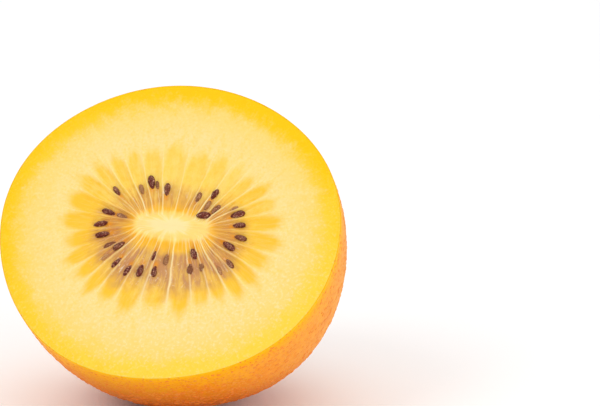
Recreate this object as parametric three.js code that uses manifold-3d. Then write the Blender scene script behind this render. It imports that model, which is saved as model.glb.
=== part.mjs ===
// Half of a golden kiwi fruit, cut across its middle and lying on its rounded side with the cut face up.
// Units are millimetres and +Z is up. The origin is the middle of the small flat spot that it rests on.
// The cut face looks along -Y and upwards, and the fruit's wide way lies along X.
// Each shape is first made in the fruit's own axes: the cut face is z = 0 and the stem end points along -z.
import * as THREE from 'three';
import { mergeVertices } from 'three/addons/utils/BufferGeometryUtils.js';
import Module from 'manifold-3d';

const wasm = await Module();
wasm.setup();

// Driving dimensions of the fruit
const HALF_LENGTH = 34; // from the cut face to the stem end
const WIDE_RADIUS = 27.4; // of the cut face, level
const NARROW_RADIUS = 25.3; // of the cut face, up and down its slope
const BLUNTNESS = 2.3; // 2 would be a plain ellipsoid, and more is fuller towards the end
const SECTION_ROLL = -6; // degrees that the wide way dips to the right
const FACE_TILT = 40; // degrees that the cut face looks above the horizon
const SPOT_DEPTH = 0.5; // how much of the round side the flat spot takes off

// Slow waves in the outline: how many go round, their height, and the direction of a crest in degrees
const WAVES = [
  { count: 3, height: 0.1, crest: 12 },
  { count: 4, height: 0.14, crest: -26 },
  { count: 5, height: 0.1, crest: 30 },
];

// The pale core in the middle of the cut face, an oval that stands slightly proud
const CORE_MIDDLE = new THREE.Vector2(0.45, 0.65);
const CORE_HALF_LENGTH = 5.6;
const CORE_HALF_WIDTH = 2;
const CORE_HEIGHT = 0.35;
const CORE_ROLL = -3; // degrees

// The seed chambers, thin hollows that stand round the core like petals
const CROWDING = 0.33; // how much closer they stand along the core's flat sides than round its ends
const CHAMBER_TURN = 0.25; // of a chamber, from level to the first wall
const CHAMBER_START = 0.7; // out from the core
const CHAMBER_DEPTH = 0.42;
const CHAMBER_FILL = 0.74; // of the room between two walls
const CHAMBER_FULLNESS = 0.65; // 1 would be pointed like a lens, and less is rounder at the tip

// How far out from the core the tip of each chamber lies, counted from the right-hand end of the core
const CHAMBER_TIPS = [
  12, 11.4, 12, 10.8, 11.2, 11.4, 11.2, 12.4, 11.6, 11.8, 11.9, 12.6, 12.9, 12.3, 12.2,
  11.5, 12.6, 12.4, 13.4, 12.9, 13.9, 11.8, 13.1, 11.9, 12, 13.1, 12.9, 11.7, 12.5,
];

// Each seed: its place, in chambers round from the right-hand end of the core, its distance out from the
// core, its size as a share of a full one, and the degrees that it leans from the line out of the core
const SEEDS = [
  [0.56, 5.2, 1, -6], [1.66, 5.35, 1.15, -8], [2.36, 5.15, 0.85, 0], [3.92, 3.15, 0.9, -4],
  [4.7, 1.15, 1.2, -56], [5, 5.1, 1, -8], [5.02, 3, 0.85, -4], [5.96, 3.65, 0.95, -8],
  [7.68, 4.35, 1.05, -2], [8.26, 5.25, 0.7, 4], [8.62, 5.8, 1.15, 4], [9.42, 4.95, 0.85, 4],
  [11.62, 6.45, 0.95, -8], [13.52, 2.8, 0.95, -4], [13.56, 5.2, 1.1, 0], [14.66, 5.9, 1.1, 14],
  [15.62, 5.7, 1.1, -6], [16.98, 5.25, 1, -6], [17.7, 6.9, 0.8, 0], [17.72, 4.2, 1.05, -6],
  [18.82, 6.6, 1, -7], [19.84, 6.9, 1, -8], [20.5, 6.2, 1.05, 0], [20.98, 3.4, 0.9, 4],
  [21.18, 5.85, 0.95, 6], [21.6, 3.65, 0.9, 0], [22.96, 5.25, 1.05, 0], [23.36, 2.75, 1.05, 16],
  [23.82, 5.2, 0.9, 2], [25.12, 6.95, 0.85, -6], [26.16, 6.95, 0.95, -10], [27.4, 4.55, 1.1, -4],
  [28.48, 5.7, 1, -6],
];
const SEED_SIZE = new THREE.Vector3(2.15, 1.15, 0.95); // length, width and thickness of a full one
const SEED_TAPER = 0.28; // how much slimmer the end towards the core is
const SEED_SINK = 0.1; // of a seed's middle, below the cut face
const SEED_ROOT = 1.6; // how far its sides go down, in half thicknesses

// The stem end: a shallow hollow with a woody button in it
const DIMPLE_DEPTH = 0.9;
const DIMPLE_RADIUS = 4.2;
const BUTTON_RADIUS = 2.6;

// The button's outline from its pitted middle to its root: a share of its radius, and the rise from the
// floor of the hollow
const BUTTON_OUTLINE = [
  [0, 0.45],
  [0.35, 0.67],
  [0.6, 1],
  [0.86, 0.85],
  [1, 0.35],
  [0.9, -1.6],
  [0, -1.6],
];

// How finely the shapes are made
const COLUMNS = 96;
const ROWS = 17;
const SEED_SIDES = 9;
const SEED_RINGS = 3;
const CHAMBER_SIDES = 8;
const CHAMBER_RINGS = 8;
const BUTTON_SIDES = 20;
const CORE_SIDES = 28;
const CORE_RINGS = 8;
const SETTLING_STEPS = 30; // of the repeated step that finds a chamber's direction
const MERGE_WITHIN = 1e-4;

const X_AXIS = new THREE.Vector3(1, 0, 0);
const Z_AXIS = new THREE.Vector3(0, 0, 1);
const rad = THREE.MathUtils.degToRad;

/** The manifold-3d solid of a closed geometry. */
function solidOf(geometry) {
  geometry.deleteAttribute('normal');
  geometry.deleteAttribute('uv');
  const merged = mergeVertices(geometry, MERGE_WITHIN);
  return new wasm.Manifold(
    new wasm.Mesh({
      numProp: 3,
      vertProperties: merged.getAttribute('position').array,
      triVerts: new Uint32Array(merged.getIndex().array),
    }),
  );
}

/** The geometry of a manifold-3d solid. */
function geometryOf(solid) {
  const { numProp, vertProperties, triVerts } = solid.getMesh();
  const geometry = new THREE.BufferGeometry();
  geometry.setAttribute('position', new THREE.BufferAttribute(vertProperties, numProp));
  geometry.setIndex(new THREE.BufferAttribute(triVerts, 1));
  geometry.computeVertexNormals();
  return geometry;
}

/** Moves every vertex of a geometry to where the function puts it. */
function reshape(geometry, place) {
  const position = geometry.getAttribute('position');
  const vertex = new THREE.Vector3();
  for (let i = 0; i < position.count; i++) {
    const { x, y, z } = place(vertex.fromBufferAttribute(position, i));
    position.setXYZ(i, x, y, z);
  }
  return geometry;
}

/** A ball of radius 1 whose poles lie along X. */
function lyingBall(sides, rings) {
  return new THREE.SphereGeometry(1, sides, rings).rotateZ(-Math.PI / 2);
}

/** An outline turned about Z. Its points give the distance from Z and the height, from the bottom up. */
function upright(outline, sides) {
  return new THREE.LatheGeometry(outline, sides).rotateX(Math.PI / 2);
}

/** How far the outline swells out in a direction, as a share of the plain oval's radius. */
function swelling(angle) {
  let share = 0;
  for (const { count, height, crest } of WAVES) {
    share += (height / NARROW_RADIUS) * Math.cos(count * (angle - rad(crest)));
  }
  return share;
}

/** The half fruit with a plain cut face, turned from a quarter outline and then made oval and wavy. */
function fruitBody() {
  const outline = [new THREE.Vector2(0, -1)];
  for (let row = ROWS - 1; row >= 0; row--) {
    const turn = ((row / ROWS) * Math.PI) / 2;
    outline.push(
      new THREE.Vector2(Math.cos(turn) ** (2 / BLUNTNESS), -(Math.sin(turn) ** (2 / BLUNTNESS))),
    );
  }
  outline.push(new THREE.Vector2(0, 0));
  const body = reshape(upright(outline, COLUMNS), (vertex) => {
    const swell = 1 + swelling(Math.atan2(vertex.y, vertex.x)) * Math.hypot(vertex.x, vertex.y);
    const x = vertex.x * swell * WIDE_RADIUS;
    const y = vertex.y * swell * NARROW_RADIUS;
    const hollow = DIMPLE_DEPTH * Math.exp(-((Math.hypot(x, y) / DIMPLE_RADIUS) ** 2));
    return new THREE.Vector3(x, y, vertex.z * (HALF_LENGTH - hollow));
  });
  return body.rotateZ(rad(SECTION_ROLL));
}

/** The direction in which a chamber runs out from the core. Whole numbers are the walls between them. */
function chamberDirection(place) {
  const even = (2 * Math.PI * (place + CHAMBER_TURN)) / CHAMBER_TIPS.length;
  let direction = even;
  for (let step = 0; step < SETTLING_STEPS; step++) {
    direction = even + (CROWDING / 2) * Math.sin(2 * direction);
  }
  return direction;
}

/** The point of the cut face at a distance out from the core, at a place counted in chambers. */
function facePoint(place, distance) {
  const direction = chamberDirection(place);
  const along = Math.atan2(
    CORE_HALF_WIDTH * Math.sin(direction),
    CORE_HALF_LENGTH * Math.cos(direction),
  );
  const point = new THREE.Vector2(
    CORE_HALF_LENGTH * Math.cos(along) + distance * Math.cos(direction),
    CORE_HALF_WIDTH * Math.sin(along) + distance * Math.sin(direction),
  );
  return point.rotateAround(new THREE.Vector2(), rad(CORE_ROLL)).add(CORE_MIDDLE);
}

/** The hollow of one seed chamber, to be cut from the face. It swells and narrows again like a petal. */
function chamberHollow(tip, chamber) {
  return reshape(lyingBall(CHAMBER_SIDES, CHAMBER_RINGS), ({ x, y, z }) => {
    const share = Math.acos(THREE.MathUtils.clamp(-x, -1, 1)) / Math.PI;
    const distance = CHAMBER_START + (tip - CHAMBER_START) * share;
    const middle = facePoint(chamber + 0.5, distance);
    const toWall = facePoint(chamber + 1, distance).sub(middle);
    const fullness = Math.max(Math.hypot(y, z), MERGE_WITHIN) ** (CHAMBER_FULLNESS - 1);
    const across = y * fullness * CHAMBER_FILL;
    return new THREE.Vector3(
      middle.x + toWall.x * across,
      middle.y + toWall.y * across,
      z * fullness * CHAMBER_DEPTH,
    );
  });
}

/** One seed, a low drop whose narrow end points to the core. Its sides run straight down into the flesh. */
function seed(place, distance, size, lean) {
  const outline = [new THREE.Vector2(0, -SEED_ROOT), new THREE.Vector2(1, -SEED_ROOT)];
  for (let ring = 0; ring <= SEED_RINGS; ring++) {
    const rise = ((ring / SEED_RINGS) * Math.PI) / 2;
    outline.push(new THREE.Vector2(Math.cos(rise), Math.sin(rise)));
  }
  const drop = reshape(upright(outline, SEED_SIDES), ({ x, y, z }) => {
    const girth = 1 + (SEED_TAPER / 2) * (x - 1);
    return new THREE.Vector3(x, y * girth, z);
  });
  const middle = facePoint(place, distance);
  const outward = facePoint(place, distance + 1).sub(middle);
  const half = SEED_SIZE.clone().multiplyScalar(size / 2);
  return drop
    .scale(half.x, half.y, half.z)
    .rotateZ(outward.angle() + rad(lean))
    .translate(middle.x, middle.y, -SEED_SINK);
}

/** The core's low swelling, a flattened ellipsoid that is half sunk into the face. */
function coreSwelling() {
  return lyingBall(CORE_SIDES, CORE_RINGS)
    .scale(CORE_HALF_LENGTH, CORE_HALF_WIDTH, CORE_HEIGHT)
    .rotateZ(rad(CORE_ROLL))
    .translate(CORE_MIDDLE.x, CORE_MIDDLE.y, 0);
}

/** The woody button at the stem end, a low boss with a pit in its middle. */
function stemButton() {
  const outline = BUTTON_OUTLINE.map(([out, rise]) => new THREE.Vector2(out * BUTTON_RADIUS, -rise));
  return upright(outline, BUTTON_SIDES).translate(0, 0, DIMPLE_DEPTH - HALF_LENGTH);
}

/** Where the plain fruit, lying tilted, would touch the table, in the fruit's own axes. */
function touchPoint() {
  const power = BLUNTNESS / (BLUNTNESS - 1);
  const down = new THREE.Vector3(0, 0, -1)
    .applyAxisAngle(X_AXIS, rad(FACE_TILT - 90))
    .applyAxisAngle(Z_AXIS, rad(-SECTION_ROLL));
  const girth = Math.hypot(down.x * WIDE_RADIUS, down.y * NARROW_RADIUS);
  const depth = -down.z * HALF_LENGTH;
  const reach = (girth ** power + depth ** power) ** (1 / power);
  const share = reach ** (1 - power);
  return new THREE.Vector3(
    share * girth ** (power - 2) * down.x * WIDE_RADIUS ** 2,
    share * girth ** (power - 2) * down.y * NARROW_RADIUS ** 2,
    -share * depth ** (power - 1) * HALF_LENGTH,
  ).applyAxisAngle(Z_AXIS, rad(SECTION_ROLL));
}

/** The turn and shift that lay the fruit on the table, with its flat spot's middle at the origin. */
function layingDown() {
  const turn = new THREE.Matrix4().makeRotationX(rad(90 - FACE_TILT));
  const touch = touchPoint().applyMatrix4(turn);
  return new THREE.Matrix4()
    .makeTranslation(-touch.x, -touch.y, -touch.z - SPOT_DEPTH)
    .multiply(turn);
}

/** The whole half fruit in its own axes, as one solid, with the flat spot cut where it will lie. */
function halfFruit(laying) {
  const side = 4 * WIDE_RADIUS;
  const table = new THREE.BoxGeometry(side, side, side).translate(0, 0, -side / 2);
  let fruit = solidOf(fruitBody()).add(solidOf(coreSwelling())).add(solidOf(stemButton()));
  CHAMBER_TIPS.forEach((tip, chamber) => {
    fruit = fruit.subtract(solidOf(chamberHollow(tip, chamber)));
  });
  for (const [place, distance, size, lean] of SEEDS) {
    fruit = fruit.add(solidOf(seed(place, distance, size, lean)));
  }
  return fruit.subtract(solidOf(table.applyMatrix4(laying.clone().invert())));
}

const flesh = new THREE.MeshStandardMaterial({ color: 0xfdd774, roughness: 0.35, metalness: 0 });

const laying = layingDown();
const kiwi = new THREE.Group();
const half = new THREE.Mesh(geometryOf(halfFruit(laying)).applyMatrix4(laying), flesh);
half.name = 'kiwi_half';
kiwi.add(half);

export default kiwi;
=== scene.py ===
"""Half of a golden kiwi fruit, cut across its middle and lying on its rounded side with the cut face up.

Sizes are in millimetres and in the fruit's own axes: h runs level across the cut face, v up its slope and
w out of it, and the stem end lies along -w. Finished meshes are in metres, in the frame of the model.
"""

from __future__ import annotations

import logging
import math
import sys
from collections.abc import Mapping, Sequence
from dataclasses import dataclass, field
from enum import Enum

import bpy
import numpy as np
from mathutils import Matrix, Vector, noise

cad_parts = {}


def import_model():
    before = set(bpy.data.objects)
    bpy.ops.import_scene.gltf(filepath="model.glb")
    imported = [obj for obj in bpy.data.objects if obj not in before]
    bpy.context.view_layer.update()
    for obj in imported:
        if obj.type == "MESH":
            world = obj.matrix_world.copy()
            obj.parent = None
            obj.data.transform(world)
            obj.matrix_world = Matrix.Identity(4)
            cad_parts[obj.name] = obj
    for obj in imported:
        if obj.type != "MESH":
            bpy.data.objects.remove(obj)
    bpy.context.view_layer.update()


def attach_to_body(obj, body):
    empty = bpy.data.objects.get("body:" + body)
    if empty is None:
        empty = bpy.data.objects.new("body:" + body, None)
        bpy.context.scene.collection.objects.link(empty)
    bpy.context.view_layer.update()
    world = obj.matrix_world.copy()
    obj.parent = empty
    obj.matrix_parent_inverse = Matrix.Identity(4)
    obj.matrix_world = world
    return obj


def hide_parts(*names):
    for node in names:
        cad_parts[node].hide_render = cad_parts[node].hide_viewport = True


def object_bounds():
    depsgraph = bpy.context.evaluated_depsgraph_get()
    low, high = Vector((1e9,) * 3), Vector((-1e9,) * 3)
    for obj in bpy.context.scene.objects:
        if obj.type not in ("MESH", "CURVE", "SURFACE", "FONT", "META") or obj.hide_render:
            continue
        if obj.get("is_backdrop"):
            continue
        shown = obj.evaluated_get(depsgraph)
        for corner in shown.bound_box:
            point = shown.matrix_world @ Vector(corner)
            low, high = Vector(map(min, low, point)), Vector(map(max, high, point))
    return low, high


LOG = logging.getLogger("kiwi")
MM = 0.001  # a millimetre in metres
NODE = "kiwi_half"
BODY = "root"
ROOM_LIGHT = 1.13  # how bright a white surface looks that faces the camera
MIRRORED = (1.0, -1.0, 1.0)  # factors that give a second pattern of the same noise

Colour = tuple[float, float, float, float]
Zone = tuple[float, float]  # where a soft step starts and where it ends


class Slot(Enum):
    """The record's material slots."""

    FLESH = "flesh"
    SKIN = "skin"
    SEED = "seed"
    STEM = "stem"


def tone(red: int, green: int, blue: int) -> Colour:
    """The shader's colour for a surface that shows as the given sRGB colour in the room's light.

    Args:
        red: The red that shows, where 255 is a white surface's and a little more suits a shaded side.
        green: The green that shows.
        blue: The blue that shows.

    Returns:
        The shader's colour.
    """
    shares = [value / 255 for value in (red, green, blue)]
    linear = [s / 12.92 if s <= 0.04045 else ((s + 0.055) / 1.055) ** 2.4 for s in shares]
    return (linear[0] / ROOM_LIGHT, linear[1] / ROOM_LIGHT, linear[2] / ROOM_LIGHT, 1.0)


def step(value: np.ndarray, low: float | np.ndarray, high: float | np.ndarray) -> np.ndarray:
    """A soft step from 0 at low to 1 at high.

    Args:
        value: What is compared.
        low: Where the step starts.
        high: Where the step ends.

    Returns:
        The step's height for each value.
    """
    share = np.clip((value - low) / (high - low), 0, 1)
    return share * share * (3 - 2 * share)


def grain(points: np.ndarray, per_mm: float) -> np.ndarray:
    """Smooth noise.

    Args:
        points: Points in millimetres, three numbers each.
        per_mm: How many waves of the noise there are in a millimetre.

    Returns:
        About -1 to 1 for each point.
    """
    flat = points.reshape(-1, 3) * per_mm
    return np.array([noise.noise(Vector(point)) for point in flat]).reshape(points.shape[:-1])


def rolled(h: np.ndarray, v: np.ndarray, degrees: float) -> tuple[np.ndarray, np.ndarray]:
    """Points of the cut face, turned anticlockwise round its middle.

    Args:
        h: How far across the face each point lies.
        v: How far up the face it lies.
        degrees: The turn.

    Returns:
        The turned points' h and v.
    """
    roll = math.radians(degrees)
    return h * math.cos(roll) - v * math.sin(roll), h * math.sin(roll) + v * math.cos(roll)


class Wire:
    """An output socket of a node tree that can be used in sums."""

    def __init__(self, sheet: Sheet, socket: bpy.types.NodeSocket) -> None:
        """Keeps the socket and the sheet that it is on."""
        self.sheet = sheet
        self.socket = socket

    def _sum(self, operation: str, *values: Wire | float) -> Wire:
        """Adds a Math node that works on the given values."""
        return self.sheet.node("ShaderNodeMath", {"operation": operation}, dict(enumerate(values)))

    def __add__(self, other: Wire | float) -> Wire:
        """The sum of the two."""
        return self._sum("ADD", self, other)

    def __radd__(self, other: float) -> Wire:
        """The sum of the two."""
        return self._sum("ADD", other, self)

    def __sub__(self, other: Wire | float) -> Wire:
        """This less the other."""
        return self._sum("SUBTRACT", self, other)

    def __rsub__(self, other: float) -> Wire:
        """The other less this."""
        return self._sum("SUBTRACT", other, self)

    def __mul__(self, other: Wire | float) -> Wire:
        """The product of the two."""
        return self._sum("MULTIPLY", self, other)

    def __rmul__(self, other: float) -> Wire:
        """The product of the two."""
        return self._sum("MULTIPLY", other, self)

    def __truediv__(self, other: Wire | float) -> Wire:
        """This divided by the other."""
        return self._sum("DIVIDE", self, other)

    def __pow__(self, other: Wire | float) -> Wire:
        """This to the power of the other."""
        return self._sum("POWER", self, other)

    def __mod__(self, other: Wire | float) -> Wire:
        """What is left of this after whole others, never below 0."""
        return self._sum("FLOORED_MODULO", self, other)

    def __abs__(self) -> Wire:
        """This without its sign."""
        return self._sum("ABSOLUTE", self)

    def floor(self) -> Wire:
        """The whole number below."""
        return self._sum("FLOOR", self)

    def held(self) -> Wire:
        """This held between 0 and 1."""
        return self._sum("MINIMUM", self._sum("MAXIMUM", self, 0.0), 1.0)

    def step(self, low: Wire | float, high: Wire | float) -> Wire:
        """A soft step from 0 at low to 1 at high."""
        return self.sheet.node(
            "ShaderNodeMapRange",
            {"interpolation_type": "SMOOTHSTEP"},
            {"Value": self, "From Min": low, "From Max": high, "To Min": 0.0, "To Max": 1.0},
        )

    def parts(self) -> tuple[Wire, Wire, Wire]:
        """The three numbers of a vector."""
        first = self.sheet.node("ShaderNodeSeparateXYZ", {}, {0: self})
        outputs = first.socket.node.outputs
        return first, Wire(self.sheet, outputs[1]), Wire(self.sheet, outputs[2])


class Sheet:
    """A node tree that is written as expressions."""

    def __init__(self, tree: bpy.types.NodeTree) -> None:
        """Keeps the tree that nodes are added to."""
        self.tree = tree

    @staticmethod
    def _pick(sockets: Sequence[bpy.types.NodeSocket], key: int | str) -> bpy.types.NodeSocket:
        """The socket at a position, or the first one in use with a name."""
        if isinstance(key, int):
            return sockets[key]
        return next(socket for socket in sockets if socket.name == key and socket.enabled)

    def add(
        self, kind: str, settings: Mapping[str, object], inputs: Mapping[int | str, object]
    ) -> bpy.types.Node:
        """Adds a node.

        Args:
            kind: The node's type.
            settings: Its own settings, which are set first.
            inputs: Values or wires for its input sockets, by position or name.

        Returns:
            The node.
        """
        node = self.tree.nodes.new(kind)
        for key, value in settings.items():
            setattr(node, key, value)
        for key, value in inputs.items():
            socket = self._pick(node.inputs, key)
            if isinstance(value, Wire):
                self.tree.links.new(value.socket, socket)
            else:
                socket.default_value = value
        return node

    def node(
        self,
        kind: str,
        settings: Mapping[str, object] | None = None,
        inputs: Mapping[int | str, object] | None = None,
        out: int | str = 0,
    ) -> Wire:
        """Adds a node and gives the wire that leaves it.

        Args:
            kind: The node's type.
            settings: Its own settings.
            inputs: Values or wires for its input sockets, by position or name.
            out: The output that is wanted, by position or name.

        Returns:
            The wire of that output.
        """
        node = self.add(kind, settings or {}, inputs or {})
        return Wire(self, self._pick(node.outputs, out))

    def mix(self, share: Wire | float, first: object, second: object) -> Wire:
        """A colour between two colours."""
        return self.node(
            "ShaderNodeMix",
            {"data_type": "RGBA"},
            {"Factor": share, "A": first, "B": second},
            out="Result",
        )

    def vector(self, x: Wire | float, y: Wire | float, z: Wire | float) -> Wire:
        """A vector from three numbers."""
        return self.node("ShaderNodeCombineXYZ", {}, {0: x, 1: y, 2: z})

    def stretched(self, vector: Wire, factors: Sequence[float]) -> Wire:
        """A vector with each of its numbers multiplied."""
        return self.node("ShaderNodeVectorMath", {"operation": "MULTIPLY"}, {0: vector, 1: factors})

    def point(self) -> Wire:
        """The point on the piece, in millimetres."""
        return self.stretched(self.node("ShaderNodeTexCoord", out="Object"), (1 / MM,) * 3)

    def carried(self, name: str, out: str = "Vector") -> Wire:
        """A value that the mesh carries."""
        return self.node("ShaderNodeAttribute", {"attribute_name": name}, out=out)

    def grain(self, vector: Wire, scale: float, detail: float = 2.0, rough: float = 0.5) -> Wire:
        """Soft noise, mostly from 0.3 to 0.7."""
        return self.node(
            "ShaderNodeTexNoise",
            {},
            {"Vector": vector, "Scale": scale, "Detail": detail, "Roughness": rough},
        )

    def cells(self, vector: Wire, scale: float) -> Wire:
        """The distance to the nearest of scattered points."""
        inputs = {"Vector": vector, "Scale": scale}
        return self.node("ShaderNodeTexVoronoi", {}, inputs, out="Distance")

    def chance(self, number: Wire, draw: float = 0.0) -> Wire:
        """A number from 0 to 1 that is random for each whole number, and another for each draw."""
        settings = {"noise_dimensions": "1D"}
        return self.node("ShaderNodeTexWhiteNoise", settings, {"W": number + draw}, out="Value")

    def bump(self, height: Wire, depth: float, under: Wire | None = None) -> Wire:
        """A surface direction from a height.

        Args:
            height: The height, 0 to 1.
            depth: How deep a height of 1 is, in millimetres.
            under: The direction that it is laid over.

        Returns:
            The direction, for a shader's Normal.
        """
        inputs = {"Height": height, "Strength": 1.0, "Distance": depth * MM}
        if under is not None:
            inputs["Normal"] = under
        return self.node("ShaderNodeBump", {}, inputs)


class ShapeSheet(Sheet):
    """A Geometry Nodes tree with named inputs."""

    def __init__(self, name: str) -> None:
        """Starts a tree that takes and gives a geometry."""
        super().__init__(bpy.data.node_groups.new(name, "GeometryNodeTree"))
        for way in ("INPUT", "OUTPUT"):
            self.tree.interface.new_socket(
                "Geometry", in_out=way, socket_type="NodeSocketGeometry"
            )
        self.entrance = self.tree.nodes.new("NodeGroupInput")
        self.sizes: dict[str, float | int] = {}

    def geometry(self) -> Wire:
        """The geometry that comes in."""
        return Wire(self, self.entrance.outputs["Geometry"])

    def size(self, name: str, value: float | int) -> Wire:
        """A named input.

        Args:
            name: What the input is called.
            value: What the modifier sets it to. A whole number makes it a whole-number input.

        Returns:
            The input's wire.
        """
        kind = "NodeSocketInt" if isinstance(value, int) else "NodeSocketFloat"
        socket = self.tree.interface.new_socket(name, in_out="INPUT", socket_type=kind)
        self.sizes[socket.identifier] = value
        return Wire(self, self.entrance.outputs[name])

    def named(self, name: str) -> Wire:
        """A number that each point carries."""
        return self.node("GeometryNodeInputNamedAttribute", {}, {"Name": name}, out="Attribute")

    def luck(self, seed: int) -> Wire:
        """A random number from 0 to 1 for each point."""
        return self.node("FunctionNodeRandomValue", {"data_type": "FLOAT"}, {"Seed": seed}, "Value")

    def ball(self, segments: int, rings: int) -> Wire:
        """A ball of radius 1."""
        inputs = {"Segments": segments, "Rings": rings, "Radius": 1.0}
        return self.node("GeometryNodeMeshUVSphere", {}, inputs)

    def store(self, geometry: Wire, name: str, value: Wire, kind: str, domain: str) -> Wire:
        """The geometry, carrying one more value of a kind on a domain."""
        settings = {"data_type": kind, "domain": domain}
        inputs = {"Geometry": geometry, "Name": name, "Value": value}
        return self.node("GeometryNodeStoreNamedAttribute", settings, inputs)

    def planted(self, points: Wire, piece: Wire, turn: Wire, scale: Wire) -> Wire:
        """A turned and scaled copy of a piece on each point."""
        inputs = {"Points": points, "Instance": piece, "Rotation": turn, "Scale": scale}
        return self.node("GeometryNodeInstanceOnPoints", {}, inputs)

    def close(self, geometry: Wire, material: bpy.types.Material) -> None:
        """Ends the tree: smooth real faces in one material.

        Args:
            geometry: What the tree gives.
            material: The material of all its faces.
        """
        real = self.node("GeometryNodeRealizeInstances", {}, {"Geometry": geometry})
        even = self.node("GeometryNodeSetShadeSmooth", {}, {"Geometry": real})
        inputs = {"Geometry": even, "Material": material}
        dressed = self.node("GeometryNodeSetMaterial", {}, inputs)
        self.add("NodeGroupOutput", {}, {"Geometry": dressed})

    def grow(self, mesh: bpy.types.Mesh, name: str) -> bpy.types.Mesh:
        """Runs the tree on a mesh.

        Args:
            mesh: What goes in.
            name: The name of what comes out.

        Returns:
            A plain mesh.
        """
        seedbed = bpy.data.objects.new(name + "_source", mesh)
        bpy.context.scene.collection.objects.link(seedbed)
        modifier = seedbed.modifiers.new(name, "NODES")
        modifier.node_group = self.tree
        for identifier, value in self.sizes.items():
            modifier[identifier] = value
        graph = bpy.context.evaluated_depsgraph_get()
        grown = bpy.data.meshes.new_from_object(seedbed.evaluated_get(graph))
        grown.name = name
        bpy.data.objects.remove(seedbed)
        return grown


@dataclass(frozen=True)
class Finish:
    """What every finish sets on its shader's own sockets. Depths are in millimetres."""

    name: str
    specular: float = 0.5
    bleed: float = 0.0
    bleed_depth: float = 1.0
    bleed_colour: tuple[float, float, float] = (1.0, 0.6, 0.25)

    def make(self) -> bpy.types.Material:
        """Makes the material with this finish's pattern.

        Returns:
            The material.
        """
        material = bpy.data.materials.new(self.name)
        material.use_nodes = True
        material.node_tree.nodes.clear()
        sheet = Sheet(material.node_tree)
        inputs: dict[int | str, object] = {
            "Specular IOR Level": self.specular,
            "Subsurface Weight": self.bleed,
            "Subsurface Radius": self.bleed_colour,
            "Subsurface Scale": self.bleed_depth * MM,
        }
        inputs.update(self.paint(sheet))
        shader = sheet.node("ShaderNodeBsdfPrincipled", {}, inputs)
        sheet.add("ShaderNodeOutputMaterial", {}, {"Surface": shader})
        return material

    def paint(self, sheet: Sheet) -> dict[str, Wire]:
        """What varies over the surface, by the shader's socket."""
        raise NotImplementedError


class FleshSpot:
    """A spot of the flesh: where it lies, and the noise there. Distances are in millimetres.

    Attributes:
        place: Chambers round from the right-hand end of the core. Whole places are walls.
        out: How far out from the core.
        tip: How far out the petal there reaches.
        east: How far the way out from the core points to the right, -1 to 1.
        north: How far it points up the face, -1 to 1.
        width: How wide a chamber is there.
        low: 0 above the core to 1 below it.
        rim: How far in from the rim.
        blur: Broad noise round 0.
        patch: Noise in small patches, round 0.
        fine: Fine noise, mostly from 0.3 to 0.7, as the specks and the fibres are.
        specks: Noise for pale grains.
        fibres: Streaks that run out from the core.
        wall: The number of the nearest wall.
        from_wall: How far that wall is, in chambers.
        luck: A random number for each chamber.
    """

    def __init__(self, sheet: Sheet, chambers: int) -> None:
        """Reads what the mesh carries, and adds the noise.

        Args:
            sheet: The sheet that the looks are drawn on.
            chambers: How many chambers stand round the core.
        """
        self.sheet = sheet
        self.place, self.out, self.tip = sheet.carried("petals").parts()
        self.east, self.north, self.width = sheet.carried("compass").parts()
        self.low = 0.5 - 0.5 * self.north
        self.rim = sheet.carried("rim", "Fac")
        point = sheet.point()
        self.blur = sheet.grain(point, 0.5) - 0.5
        self.patch = sheet.grain(point, 1.0, detail=3.0, rough=0.6) - 0.5
        self.fine = sheet.grain(point, 2.6, detail=3.0, rough=0.6)
        self.specks = sheet.grain(sheet.stretched(point, MIRRORED), 2.3, detail=2.0, rough=0.6)
        self.fibres = self.streaks(self.out, count=26.0, along=0.3)
        where = self.place + self.blur * 0.12
        self.wall = (where + 0.5).floor() % chambers
        self.from_wall = abs((where + 0.5) % 1.0 - 0.5)
        self.luck = sheet.chance(where.floor() % chambers)

    def streaks(self, out: Wire, count: float, along: float) -> Wire:
        """Streaks that run out from the core.

        Args:
            out: How far out from the core they are read.
            count: How many streaks there are in a sixth of a turn.
            along: How many waves of the noise there are in a millimetre of a streak.

        Returns:
            Soft noise, mostly from 0.3 to 0.7.
        """
        round_core = self.sheet.vector(self.east * count, self.north * count, out * along)
        return self.sheet.grain(round_core, 1.0, detail=3.0, rough=0.62)


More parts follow.
